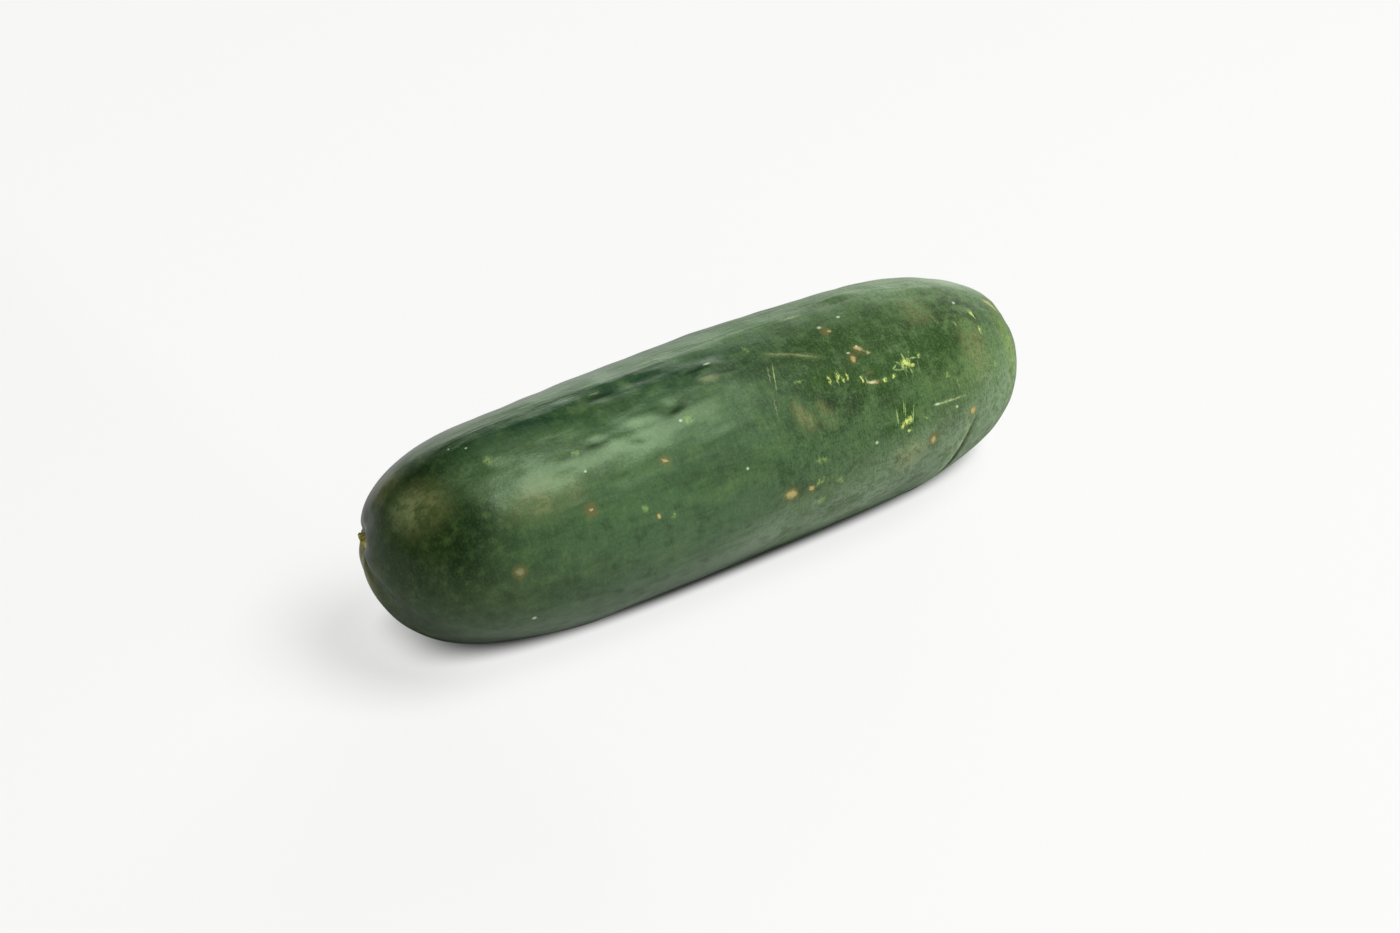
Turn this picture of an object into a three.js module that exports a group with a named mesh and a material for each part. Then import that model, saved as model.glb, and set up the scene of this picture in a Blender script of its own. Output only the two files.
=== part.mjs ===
// A slicing cucumber as picked, lying on its side: the grown fruit and the dry stub of its stem.
//
// Millimetres. +X runs from the stem end to the blossom end and +Z is up. The origin is the
// bottom centre of the bounding box. "Around" is an angle about the fruit's length, in degrees:
// 0 on top, 90 at the front (-Y), 180 underneath and -90 at the back.

import * as THREE from "three";

// ---- the fruit ----

const LENGTH = 189;
const RADIUS = 28.5;
const TAPER = 0.03; // the blossom end is this share thicker than the middle, the stem end thinner

// Each end is a rounded cap. A high power gives a blunter cap. The pole, where the fruit hung on
// its stem or carried its flower, sits off the axis, and the lift turns the whole end up and back.
const STEM_END = { side: -1, capLength: 72, power: 4.8, poleOffset: 10, poleAround: -72, lift: 2.8 };
const BLOSSOM_END = { side: 1, capLength: 94, power: 3.9, poleOffset: 3, poleAround: 120, lift: 0 };
const LIFT_AROUND = -38;

// Three broad lobes run the whole length: the fruit is a very round triangle in section.
const LOBES = { count: 3, height: 0.45, crestAround: 112 };

// The underside has settled flat under the fruit's own weight.
const REST_DEPTH = 1.0;

// Furrows run out from the poles. Width is in degrees about the pole, the rest in millimetres.
const STEM_FURROWS = [
  { around: 30, width: 18, depth: 0.5, reach: 20 },
  { around: 78, width: 18, depth: 0.4, reach: 22 },
  { around: 121, width: 11, depth: 1.3, reach: 26 },
  { around: 175, width: 18, depth: 0.5, reach: 22 },
  { around: 235, width: 18, depth: 0.4, reach: 20 },
  { around: 268, width: 16, depth: 1.4, reach: 18 },
];
const BLOSSOM_FURROWS = [
  { around: 20, width: 18, depth: 0.4, reach: 20 },
  { around: 80, width: 18, depth: 0.4, reach: 20 },
  { around: 150, width: 16, depth: 0.8, reach: 30 },
  { around: 215, width: 18, depth: 0.5, reach: 22 },
  { around: 285, width: 18, depth: 0.4, reach: 20 },
];
const FURROW_START = 4; // furrows deepen over this distance from the pole

const STEM_DIMPLE = { radius: 4, depth: 2.2 };
const BLOSSOM_DIMPLE = { radius: 6, depth: 0.9 };

// Broad swellings and hollows of the skin: a place, half sizes along and around, and a height.
const SWELLINGS = [
  { along: 22, around: 150, halfLength: 14, halfWidth: 8, height: 0.6 },
  { along: 32, around: -38, halfLength: 18, halfWidth: 14, height: -0.65 },
  { along: 40, around: 75, halfLength: 16, halfWidth: 14, height: -0.35 },
  { along: 75, around: -38, halfLength: 20, halfWidth: 14, height: 0.4 },
  { along: 89, around: 10, halfLength: 9, halfWidth: 6, height: 0.5 },
  { along: 112, around: -110, halfLength: 24, halfWidth: 13, height: -0.4 },
  { along: 140, around: -38, halfLength: 22, halfWidth: 14, height: -0.5 },
];

const RINGS = 84;
const SECTORS = 42;

// ---- the stem stub ----

const STUB_FOOT_RADIUS = 2.2;
const STUB_WAIST_RADIUS = 1.5;
const STUB_TOP_RADIUS = 1.7;
const STUB_HEIGHT = 2.6; // above the floor of the dimple
const STUB_RIDGES = { count: 5, height: 0.07 }; // the height is a share of the radius
const STUB_SECTORS = 30;
const SEAT_GAP = 0.3;

const degrees = THREE.MathUtils.degToRad;

// How far a cap has curved back towards the middle, at a distance from the fruit's axis.
function capDepth(fromAxis, end) {
  const level = Math.max(1 - (fromAxis / RADIUS) ** 2, 0);
  return end.capLength * (1 - level ** (1 / end.power));
}

// The share of full width left at a distance from an end's tip.
function capWidth(fromTip, end) {
  const intoCap = Math.max(1 - fromTip / end.capLength, 0);
  return Math.sqrt(1 - intoCap ** end.power);
}

function profileRadius(along) {
  const taper = 1 + TAPER * (2 * along / LENGTH - 1);
  return RADIUS * taper * capWidth(along, STEM_END) * capWidth(LENGTH - along, BLOSSOM_END);
}

function acrossOffset(distance, around) {
  return new THREE.Vector3(0, -Math.sin(degrees(around)), Math.cos(degrees(around))).multiplyScalar(distance);
}

// Slide a point over its cap, so that the rings close on the pole and not on the axis.
function slideTowardsPole(point, ringRadius, end) {
  const before = capDepth(Math.hypot(point.y, point.z), end);
  const share = (1 - Math.min(ringRadius / RADIUS, 1)) ** 2;
  point.add(acrossOffset(end.poleOffset * share, end.poleAround));
  point.x -= end.side * (capDepth(Math.hypot(point.y, point.z), end) - before);
}

function polePoint(end) {
  const pole = acrossOffset(end.poleOffset, end.poleAround);
  pole.x = end.side * (LENGTH / 2 - capDepth(end.poleOffset, end));
  return pole;
}

function aroundOf(y, z) {
  return THREE.MathUtils.radToDeg(Math.atan2(-y, z));
}

// The smallest turn between two angles, in degrees.
function turnBetween(a, b) {
  return THREE.MathUtils.euclideanModulo(a - b + 180, 360) - 180;
}

function lobeHeight(point, ringRadius) {
  const turn = degrees(aroundOf(point.y, point.z) - LOBES.crestAround);
  return LOBES.height * (ringRadius / RADIUS) ** 2 * Math.cos(LOBES.count * turn);
}

function swellingHeight(point, swelling) {
  const along = (point.x + LENGTH / 2 - swelling.along) / swelling.halfLength;
  const turn = degrees(turnBetween(aroundOf(point.y, point.z), swelling.around));
  const across = turn * RADIUS / swelling.halfWidth;
  return swelling.height * Math.exp(-(along ** 2) - across ** 2);
}

// The furrows and the dimple at one end, as a depth below the smooth cap.
function poleDepth(point, end, furrows, dimple) {
  const pole = polePoint(end);
  const y = point.y - pole.y;
  const z = point.z - pole.z;
  const fromPoleAxis = Math.hypot(y, z);
  const fromPole = Math.hypot(fromPoleAxis, point.x - pole.x);
  const start = fromPoleAxis ** 2 / (fromPoleAxis ** 2 + FURROW_START ** 2);
  let depth = dimple.depth * Math.exp(-((fromPole / dimple.radius) ** 2));
  for (const furrow of furrows) {
    const turn = turnBetween(aroundOf(y, z), furrow.around) / furrow.width;
    depth += furrow.depth * start * Math.exp(-(turn ** 2) - (fromPole / furrow.reach) ** 2);
  }
  return depth;
}

function reliefHeight(point, ringRadius) {
  let height = lobeHeight(point, ringRadius);
  for (const swelling of SWELLINGS) {
    height += swellingHeight(point, swelling);
  }
  height -= poleDepth(point, STEM_END, STEM_FURROWS, STEM_DIMPLE);
  height -= poleDepth(point, BLOSSOM_END, BLOSSOM_FURROWS, BLOSSOM_DIMPLE);
  return height;
}

// Outwards is away from the nearest point of a spine that stops inside the caps.
function outwards(point) {
  const spineStart = -LENGTH / 2 + STEM_END.capLength / 2;
  const spineEnd = LENGTH / 2 - BLOSSOM_END.capLength / 2;
  const nearest = THREE.MathUtils.clamp(point.x, spineStart, spineEnd);
  return new THREE.Vector3(point.x - nearest, point.y, point.z).normalize();
}

// Turn the ends up, level the tapered underside and set the fruit down on z = 0.
function settle(point) {
  for (const end of [STEM_END, BLOSSOM_END]) {
    const fromTip = LENGTH / 2 - end.side * point.x;
    const intoCap = THREE.MathUtils.clamp(1 - fromTip / end.capLength, 0, 1);
    point.add(acrossOffset(end.lift * intoCap ** 2, LIFT_AROUND));
  }
  point.z += RADIUS - REST_DEPTH + RADIUS * TAPER * 2 * point.x / LENGTH;
  point.z = Math.max(point.z, 0);
}

// A point of the skin, from its distance from the stem tip and its angle around in radians.
function skinPoint(along, around) {
  const radius = profileRadius(along);
  const point = new THREE.Vector3(along - LENGTH / 2, -radius * Math.sin(around), radius * Math.cos(around));
  slideTowardsPole(point, radius, along < LENGTH / 2 ? STEM_END : BLOSSOM_END);
  point.addScaledVector(outwards(point), reliefHeight(point, radius));
  settle(point);
  return point;
}

// Move every vertex of a lathe, whose profile was turned about Y, to where place() puts it.
function reshape(lathe, place) {
  const position = lathe.attributes.position;
  for (let i = 0; i < position.count; i++) {
    const around = Math.atan2(position.getX(i), position.getZ(i));
    const moved = place(position.getY(i), around, Math.hypot(position.getX(i), position.getZ(i)));
    position.setXYZ(i, moved.x, moved.y, moved.z);
  }
  lathe.computeVertexNormals();
  return lathe;
}

function fruitMesh() {
  const profile = [];
  for (let ring = 0; ring <= RINGS; ring++) {
    const along = LENGTH * (1 - Math.cos(Math.PI * ring / RINGS)) / 2; // rings crowd at the ends
    profile.push(new THREE.Vector2(profileRadius(along), along));
  }
  profile[0].x = 0;
  profile[RINGS].x = 0;
  const geometry = reshape(new THREE.LatheGeometry(profile, SECTORS), skinPoint);
  const skin = new THREE.MeshStandardMaterial({ color: "#3a5633", roughness: 0.42, metalness: 0 });
  const mesh = new THREE.Mesh(geometry, skin);
  mesh.name = "cucumber_fruit";
  return mesh;
}

// The direction that the floor of the stem dimple faces, from a small ring about the pole.
function seatNormal() {
  const ringAlong = 0.3;
  const normal = new THREE.Vector3();
  for (let step = 0; step < SECTORS; step++) {
    const here = skinPoint(ringAlong, 2 * Math.PI * step / SECTORS);
    const next = skinPoint(ringAlong, 2 * Math.PI * (step + 1) / SECTORS);
    normal.add(here.cross(next));
  }
  return normal.normalize().multiplyScalar(Math.sign(-normal.x));
}

// The rise of the dimple's bowl, which the foot of the stub follows at the seat gap.
function bowlRise(radius) {
  return STEM_DIMPLE.depth * (1 - Math.exp(-((radius / STEM_DIMPLE.radius) ** 2)));
}

function stubProfile() {
  const heel = bowlRise(STUB_FOOT_RADIUS) + SEAT_GAP;
  const sides = new THREE.SplineCurve([
    new THREE.Vector2(STUB_FOOT_RADIUS, heel + 0.1),
    new THREE.Vector2(STUB_WAIST_RADIUS, heel + 0.45),
    new THREE.Vector2(STUB_WAIST_RADIUS, STUB_HEIGHT - 0.85),
    new THREE.Vector2(STUB_TOP_RADIUS, STUB_HEIGHT - 0.35),
    new THREE.Vector2(STUB_TOP_RADIUS - 0.3, STUB_HEIGHT),
  ]);
  const underside = [0, 0.35, 0.7, 1].map((share) => {
    const radius = STUB_FOOT_RADIUS * share;
    return new THREE.Vector2(radius, bowlRise(radius) + SEAT_GAP);
  });
  const pith = new THREE.Vector2(0, STUB_HEIGHT - 0.3);
  return [...underside, ...sides.getPoints(10), pith];
}

function stubMesh() {
  const ridged = (height, around, radius) => {
    const out = radius * (1 + STUB_RIDGES.height * Math.cos(STUB_RIDGES.count * around));
    return new THREE.Vector3(out * Math.sin(around), height, out * Math.cos(around));
  };
  const geometry = reshape(new THREE.LatheGeometry(stubProfile(), STUB_SECTORS), ridged);
  const bark = new THREE.MeshStandardMaterial({ color: "#8a7a3c", roughness: 0.85, metalness: 0 });
  const mesh = new THREE.Mesh(geometry, bark);
  mesh.name = "stem_stub";
  mesh.position.copy(skinPoint(0, 0));
  mesh.quaternion.setFromUnitVectors(new THREE.Vector3(0, 1, 0), seatNormal());
  return mesh;
}

// ---- the whole cucumber, moved so that its box stands centred on the origin ----

const cucumber = new THREE.Group();
cucumber.add(fruitMesh(), stubMesh());

const middle = new THREE.Box3().setFromObject(cucumber, true).getCenter(new THREE.Vector3());
cucumber.position.set(-middle.x, -middle.y, 0);
cucumber.updateMatrixWorld(true);

export default cucumber;
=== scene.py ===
"""A slicing cucumber as picked: the waxy green fruit and the dry stub of its stem.

The frame is in metres with +X from the stem end to the blossom end, +Z up and -Y to the front.
"Along" is a distance from the stem tip in millimetres. "Around" is an angle about the fruit's
length in degrees: 0 on top, 90 at the front, 180 underneath and -90 at the back.
"""

import math

import bmesh
import bpy
import numpy as np
from mathutils import Matrix, Vector, noise


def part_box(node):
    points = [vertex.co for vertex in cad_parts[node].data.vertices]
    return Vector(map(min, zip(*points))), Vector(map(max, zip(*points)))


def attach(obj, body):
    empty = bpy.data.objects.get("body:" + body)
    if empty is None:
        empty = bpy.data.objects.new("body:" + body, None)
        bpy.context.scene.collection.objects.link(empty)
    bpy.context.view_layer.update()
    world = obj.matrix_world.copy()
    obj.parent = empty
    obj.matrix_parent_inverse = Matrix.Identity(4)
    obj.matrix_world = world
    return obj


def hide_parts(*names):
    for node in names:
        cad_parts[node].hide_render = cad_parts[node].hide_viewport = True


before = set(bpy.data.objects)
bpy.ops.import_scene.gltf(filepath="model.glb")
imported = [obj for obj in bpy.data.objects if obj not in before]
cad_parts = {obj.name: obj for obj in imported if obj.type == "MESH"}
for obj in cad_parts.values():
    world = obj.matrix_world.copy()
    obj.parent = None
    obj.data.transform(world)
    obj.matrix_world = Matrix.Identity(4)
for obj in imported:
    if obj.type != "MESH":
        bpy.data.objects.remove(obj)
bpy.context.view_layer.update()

MM = 0.001


# ---- The fruit's skin -----------------------------------------------------------------------
# One grown body, 188 mm long and 57 mm thick, blunt at both ends. Its outline is spun about the
# long axis, and every point of the skin is then moved out or in for the lobes, the furrows at the
# poles, the dimple round the stem, the flat it rests on and the warts where its spines stood.

LENGTH = 189.0
RADIUS = 28.5
TAPER = 0.03                    # the share by which the blossom end is wider and the stem end narrower

# An end curves in over its cap, more bluntly with a higher power. Its pole, where the stem or the
# flower sat, lies off the axis by a distance at an angle around, and its tip may be lifted towards
# another angle.
STEM_END = {"side": -1, "cap": 72.0, "power": 4.8, "pole": (10.0, -72.0), "lift": 2.8}
BLOSSOM_END = {"side": 1, "cap": 94.0, "power": 3.9, "pole": (3.0, 120.0), "lift": 0.0}
LIFT_AROUND = -38.0

LOBE_COUNT = 3
LOBE_HEIGHT = 0.45
LOBE_CREST = 112.0
REST_DEPTH = 1.0                # how deep the flat underneath cuts into the round

# Furrows run out from the poles: around, width in degrees about the pole, depth, reach.
STEM_FURROWS = [(30, 18, 0.5, 20), (78, 18, 0.4, 22), (121, 11, 1.3, 26),
                (175, 18, 0.5, 22), (235, 18, 0.4, 20), (268, 16, 1.4, 18)]
BLOSSOM_FURROWS = [(20, 18, 0.4, 20), (80, 18, 0.4, 20), (150, 16, 0.8, 30),
                   (215, 18, 0.5, 22), (285, 18, 0.4, 20)]
FURROW_START = 4.0
STEM_DIMPLE = (4.0, 2.2)        # radius, depth
BLOSSOM_DIMPLE = (6.0, 0.9)

# Broad swellings and hollows: along, around, half length, half width, height.
SWELLINGS = [
    (20, 140, 20, 12, -1.2), (95, 132, 48, 10, -1.1), (32, -38, 18, 14, -0.65),
    (40, 75, 16, 14, -0.35), (75, -38, 20, 14, 0.4), (89, 10, 9, 6, 0.5),
    (112, -110, 24, 13, -0.4), (140, -38, 22, 14, -0.5), (159, 112, 6, 8, -0.35),
    (182, 10, 7, 16, 0.7), (107, -38, 15, 12, 0.6),
]

# Low warts with a spine scar on top, and small pits beside them: along, around, half length,
# half width, height.
WARTS = [
    (89, 11, 3.4, 2.0, 0.5), (90, 3, 5.0, 1.5, -0.35), (97, 12, 3.0, 2.0, -0.3),
    (76, 30, 3.0, 2.0, 0.3), (74, 24, 2.6, 1.6, -0.4), (66, 14, 4.0, 2.5, 0.3),
    (58, 12, 3.5, 2.2, 0.25), (60, 5, 4.0, 1.5, -0.3), (52, 28, 2.5, 1.3, -0.25),
    (84, 36, 7.0, 9.0, 0.45), (96, 36, 5.0, 10.0, -0.25), (136, -6, 4.0, 2.4, 0.35),
    (123, 14, 1.6, 1.2, 0.35), (106, 2, 6.0, 2.0, -0.25), (46, 40, 1.5, 1.5, 0.2),
    (70, -4, 6.0, 1.6, 0.3), (72, 2, 6.0, 1.6, -0.3), (28, 16, 2.5, 2.0, 0.2),
    (125, 33, 1.6, 1.5, 0.25), (129, 32, 2.2, 2.0, -0.25), (86, 66, 1.2, 1.2, 0.15),
    (124, 78, 1.2, 1.2, 0.15), (112, -4, 5.0, 1.8, 0.25), (44, 6, 5.0, 2.0, -0.2),
    (131, -7, 5.5, 1.3, 0.3), (135, -2, 6.0, 1.1, -0.3), (125, -8, 5.0, 1.2, -0.25),
    (127, 3, 6.0, 1.3, 0.25),
]

# A crease pinched into the skin beside the blossom end, from one place to another.
CREASE_START = (157.2, 95.0)
CREASE_END = (143.7, 137.0)
CREASE_WIDTH = 0.8
CREASE_DEPTH = 1.3
CREASE_LIPS = [(-1.8, 1.1, 0.4), (2.0, 1.2, 0.15)]        # place beside it, half width, height
CREASE_COMES_IN = (-0.1125, 4.0)                          # share of its run, and how fast
CREASE_RUNS_OUT = (1.1, 3.0)

# Growth is never even. The lumps are given as length, width and height, with a shift that keeps
# the kinds apart. The small kinds are strongest near the top and fade in a little past the stem end.
BROAD_LUMPS = (24, 11, 0.35, (0, 0, 0))
SMALL_LUMPS = (7, 5, 0.3, (7, 0, 0))
LONG_RIDGES = (9, 2.6, 0.2, (0, 0, 3))
ROUGHEST_AROUND = 14
ROUGH_SPREAD = 42
LEAST_ROUGH_AROUND = 0.35
SMOOTH_END_X = -60              # half of the fading in is done here
SMOOTH_END_FADE = 8
LEAST_ROUGH_ALONG = 0.4

STATIONS = 330
SECTORS = 288
OUTLINE_SAMPLES = 4001          # from which the stations are chosen
CROWDED_PLACE = 152.0           # the stations stand closer at the crease
CROWDED_LENGTH = 8.0
CROWDING = 1.5
MERGE_DISTANCE = 1e-4


def cap_depth(from_axis, end):
    """How far a cap has curved back towards the middle, at a distance from the axis."""
    level = np.maximum(1 - (from_axis / RADIUS) ** 2, 0)
    return end["cap"] * (1 - level ** (1 / end["power"]))


def cap_width(from_tip, end):
    """The share of full width at a distance from an end's tip."""
    into_cap = np.maximum(1 - from_tip / end["cap"], 0)
    return np.sqrt(np.maximum(1 - into_cap ** end["power"], 0))


def profile_radius(along):
    """The radius of the smooth fruit at a distance along it."""
    taper = 1 + TAPER * (2 * along / LENGTH - 1)
    return RADIUS * taper * cap_width(along, STEM_END) * cap_width(LENGTH - along, BLOSSOM_END)


def across(around):
    """The direction square to the length at an angle around."""
    return np.array((0.0, -math.sin(math.radians(around)), math.cos(math.radians(around))))


def around_of(y, z):
    """The angle around of a point."""
    return np.degrees(np.arctan2(-y, z))


def turn_between(a, b):
    """From angle b to angle a by the shorter way."""
    return (a - b + 180) % 360 - 180


def slide_towards_pole(points, ring_radius, end):
    """Slides points over a cap, so that its rings close on the pole and not on the axis."""
    on_side = points[:, 0] * end["side"] > 0
    before = cap_depth(np.hypot(points[:, 1], points[:, 2]), end)
    share = (1 - np.minimum(ring_radius / RADIUS, 1)) ** 2 * on_side
    offset, around = end["pole"]
    points += share[:, None] * offset * across(around)
    after = cap_depth(np.hypot(points[:, 1], points[:, 2]), end)
    points[:, 0] -= np.where(on_side, end["side"] * (after - before), 0)


def pole_depth(points, end, furrows, dimple):
    """The furrows and the dimple at one end, as a depth below the smooth cap."""
    offset, around = end["pole"]
    pole = offset * across(around)
    pole[0] = end["side"] * (LENGTH / 2 - cap_depth(offset, end))
    away = points - pole
    from_axis = np.hypot(away[:, 1], away[:, 2])
    from_pole = np.hypot(from_axis, away[:, 0])
    start = from_axis ** 2 / (from_axis ** 2 + FURROW_START ** 2)
    radius, depth = dimple
    total = depth * np.exp(-(from_pole / radius) ** 2)
    for furrow_around, width, depth, reach in furrows:
        turn = turn_between(around_of(away[:, 1], away[:, 2]), furrow_around) / width
        total += depth * start * np.exp(-turn ** 2 - (from_pole / reach) ** 2)
    return total


def mound_heights(points, mounds):
    """The height of a list of rounded swellings or hollows."""
    along = points[:, 0] + LENGTH / 2
    around = around_of(points[:, 1], points[:, 2])
    total = np.zeros(len(points))
    for centre, angle, half_length, half_width, height in mounds:
        lengthways = (along - centre) / half_length
        sideways = np.radians(turn_between(around, angle)) * RADIUS / half_width
        total += height * np.exp(-lengthways ** 2 - sideways ** 2)
    return total


def crease_height(points):
    """The pinched crease: a narrow groove with a low lip on either side."""
    along = points[:, 0] + LENGTH / 2
    sideways = np.radians(around_of(points[:, 1], points[:, 2]) - CREASE_START[1]) * RADIUS
    run = np.array((CREASE_END[0] - CREASE_START[0],
                    math.radians(CREASE_END[1] - CREASE_START[1]) * RADIUS))
    run_length = np.hypot(*run)
    run = run / run_length
    down = ((along - CREASE_START[0]) * run[0] + sideways * run[1]) / run_length
    off = (along - CREASE_START[0]) * run[1] - sideways * run[0]
    upper_end, upper_rate = CREASE_COMES_IN
    lower_end, lower_rate = CREASE_RUNS_OUT
    fade = (np.clip((down - upper_end) * upper_rate, 0, 1)
            * np.clip((lower_end - down) * lower_rate, 0, 1))
    groove = CREASE_DEPTH * np.exp(-(off / CREASE_WIDTH) ** 2)
    lips = sum(height * np.exp(-((off - place) / width) ** 2) for place, width, height in CREASE_LIPS)
    return fade * (lips - groove)


def lumpy_heights(points, lumps):
    """The height of one kind of lump, from smooth noise."""
    length, width, height, shift = lumps
    places = points / (length, width, width) + shift
    return height * np.array([noise.noise(Vector(place)) for place in places])


def uneven_heights(points):
    """The lumps and ridges of the whole skin."""
    from_top = turn_between(around_of(points[:, 1], points[:, 2]), ROUGHEST_AROUND)
    rough = LEAST_ROUGH_AROUND + (1 - LEAST_ROUGH_AROUND) * np.exp(-(from_top / ROUGH_SPREAD) ** 2)
    past_end = 1 / (1 + np.exp(-(points[:, 0] - SMOOTH_END_X) / SMOOTH_END_FADE))
    rough *= LEAST_ROUGH_ALONG + (1 - LEAST_ROUGH_ALONG) * past_end
    small = lumpy_heights(points, SMALL_LUMPS) + lumpy_heights(points, LONG_RIDGES)
    return lumpy_heights(points, BROAD_LUMPS) + rough * small


def relief_heights(points, ring_radius):
    """How far the skin stands above or below the smooth fruit."""
    turn = np.radians(around_of(points[:, 1], points[:, 2]) - LOBE_CREST)
    heights = LOBE_HEIGHT * (ring_radius / RADIUS) ** 2 * np.cos(LOBE_COUNT * turn)
    heights += mound_heights(points, SWELLINGS)
    heights += mound_heights(points, WARTS)
    heights += crease_height(points)
    heights += uneven_heights(points)
    heights -= pole_depth(points, STEM_END, STEM_FURROWS, STEM_DIMPLE)
    heights -= pole_depth(points, BLOSSOM_END, BLOSSOM_FURROWS, BLOSSOM_DIMPLE)
    return heights


def outwards(points):
    """Away from the nearest point of a core line that stops inside the caps."""
    core_start = -LENGTH / 2 + STEM_END["cap"] / 2
    core_end = LENGTH / 2 - BLOSSOM_END["cap"] / 2
    away = points.copy()
    away[:, 0] -= np.clip(points[:, 0], core_start, core_end)
    return away / np.linalg.norm(away, axis=1)[:, None]


def settle(points):
    """Turns the stem end up, levels the tapered underside and sets the fruit down on z = 0."""
    for end in (STEM_END, BLOSSOM_END):
        from_tip = LENGTH / 2 - end["side"] * points[:, 0]
        into_cap = np.clip(1 - from_tip / end["cap"], 0, 1)
        points += (end["lift"] * into_cap ** 2)[:, None] * across(LIFT_AROUND)
    points[:, 2] += RADIUS - REST_DEPTH + RADIUS * TAPER * 2 * points[:, 0] / LENGTH
    points[:, 2] = np.maximum(points[:, 2], 0)


def skin_points(along, around):
    """Points of the skin in millimetres, from their distances along and angles in degrees."""
    along = np.atleast_1d(np.asarray(along, float))
    angle = np.radians(np.atleast_1d(np.asarray(around, float)))
    radius = profile_radius(along)
    points = np.stack([along - LENGTH / 2, -radius * np.sin(angle), radius * np.cos(angle)], 1)
    slide_towards_pole(points, radius, STEM_END)
    slide_towards_pole(points, radius, BLOSSOM_END)
    points += outwards(points) * relief_heights(points, radius)[:, None]
    settle(points)
    return points


# The outline has its stations crowded towards the tips, where the skin curves most, and again
# at the crease.
turns = np.linspace(0, math.pi, OUTLINE_SAMPLES)
fine_along = LENGTH * (1 - np.cos(turns)) / 2
near_crease = np.exp(-((fine_along - CROWDED_PLACE) / CROWDED_LENGTH) ** 2)
crowding = np.cumsum(1 + CROWDING * near_crease)
shares = np.interp(np.linspace(crowding[0], crowding[-1], STATIONS + 1), crowding, turns)
stations = LENGTH * (1 - np.cos(shares)) / 2
skin_form = bmesh.new()
outline = [skin_form.verts.new((s - LENGTH / 2, 0, profile_radius(s))) for s in stations]
outline[0].co.z = 0
outline[-1].co.z = 0
outline_edges = [skin_form.edges.new(pair) for pair in zip(outline, outline[1:])]
bmesh.ops.spin(skin_form, geom=outline + outline_edges, cent=(0, 0, 0), axis=(1, 0, 0),
               angle=2 * math.pi, steps=SECTORS, use_merge=True)
bmesh.ops.remove_doubles(skin_form, verts=skin_form.verts, dist=MERGE_DISTANCE)
bmesh.ops.recalc_face_normals(skin_form, faces=skin_form.faces)

spun = np.array([vertex.co[:] for vertex in skin_form.verts])
grown = skin_points(np.clip(spun[:, 0] + LENGTH / 2, 0, LENGTH), around_of(spun[:, 1], spun[:, 2]))

# The frame centres the whole cucumber on its box, so the skin moves to where the solid fruit is.
solid_low, solid_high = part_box("cucumber_fruit")
solid_middle = (Vector(solid_low) + Vector(solid_high)) / 2
grown_middle = (grown.min(axis=0) + grown.max(axis=0)) / 2
to_frame = np.array((solid_middle.x / MM - grown_middle[0], solid_middle.y / MM - grown_middle[1], 0))


def in_frame(points):
    """Points in metres in the frame, from points in millimetres about the fruit's own middle."""
    return (points + to_frame) * MM


def put_in_scene(name, form):
    """Makes an object of a bmesh, with smooth faces and its place in its mesh."""
    for face in form.faces:
        face.smooth = True
    mesh = bpy.data.meshes.new(name)
    form.to_mesh(mesh)
    form.free()
    piece = bpy.data.objects.new(name, mesh)
    bpy.context.scene.collection.objects.link(piece)
    return piece


for vertex, place in zip(skin_form.verts, in_frame(grown)):
    vertex.co = place
fruit = put_in_scene("cucumber_skin", skin_form)

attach(fruit, "root")
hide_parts("cucumber_fruit")


# ---- The skin's colour and wax ----------------------------------------------------------------
# Deep green under a thin wax, darker at the stem end and yellower towards the blossom end, with
# a fine mottle. Corky spots, white spine scars, yellow-green nicks, scratches and faint brown
# smudges lie where the fruit rubbed against its vine. The colour goes no deeper than the skin.

def add(tree, kind, sockets=(), **settings):
    """A shader node, with its settings and its inputs: each a value or another node's output."""
    node = tree.nodes.new("ShaderNode" + kind)
    for name, value in settings.items():
        setattr(node, name, value)
    for name, value in dict(sockets).items():
        if isinstance(value, bpy.types.NodeSocket):
            tree.links.new(value, node.inputs[name])
        else:
            node.inputs[name].default_value = value
    return node


def math_node(tree, operation, a, b):
    return add(tree, "Math", {0: a, 1: b}, operation=operation).outputs[0]


def times(tree, a, b):
    return math_node(tree, "MULTIPLY", a, b)


def plus(tree, a, b):
    return math_node(tree, "ADD", a, b)


def larger(tree, a, b):
    return math_node(tree, "MAXIMUM", a, b)


def vector_node(tree, operation, sockets):
    return add(tree, "VectorMath", sockets, operation=operation).outputs[0]


def remap(tree, value, low, high, to_low=0.0, to_high=1.0):
    """A smooth ramp of value from low..high to to_low..to_high, held at both ends."""
    sockets = {"Value": value, "From Min": low, "From Max": high, "To Min": to_low, "To Max": to_high}
    return add(tree, "MapRange", sockets, interpolation_type="SMOOTHSTEP").outputs[0]


def tint(tree, share, under, over):
    """Colour over laid on colour under by a share."""
    node = add(tree, "Mix", {0: share, 6: under, 7: over}, data_type="RGBA", clamp_factor=True)
    return node.outputs[2]


def colour(red, green, blue):
    """A colour written in screen values, as the linear one that a shader takes."""
    linear = [((c + 0.055) / 1.055) ** 2.4 if c > 0.04 else c / 12.92 for c in (red, green, blue)]
    return (*linear, 1)


def noise_node(tree, where, stretch, size, detail=2.0, roughness=0.5):
    """Soft noise whose patches are size millimetres wide, and stretched along x, y and z."""
    sockets = {"Vector": where, "Scale": tuple(1 / (size * MM * s) for s in stretch)}
    scaled = add(tree, "Mapping", sockets, vector_type="POINT").outputs[0]
    sockets = {"Vector": scaled, "Scale": 1.0, "Detail": detail, "Roughness": roughness}
    return add(tree, "TexNoise", sockets).outputs[0]


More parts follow.
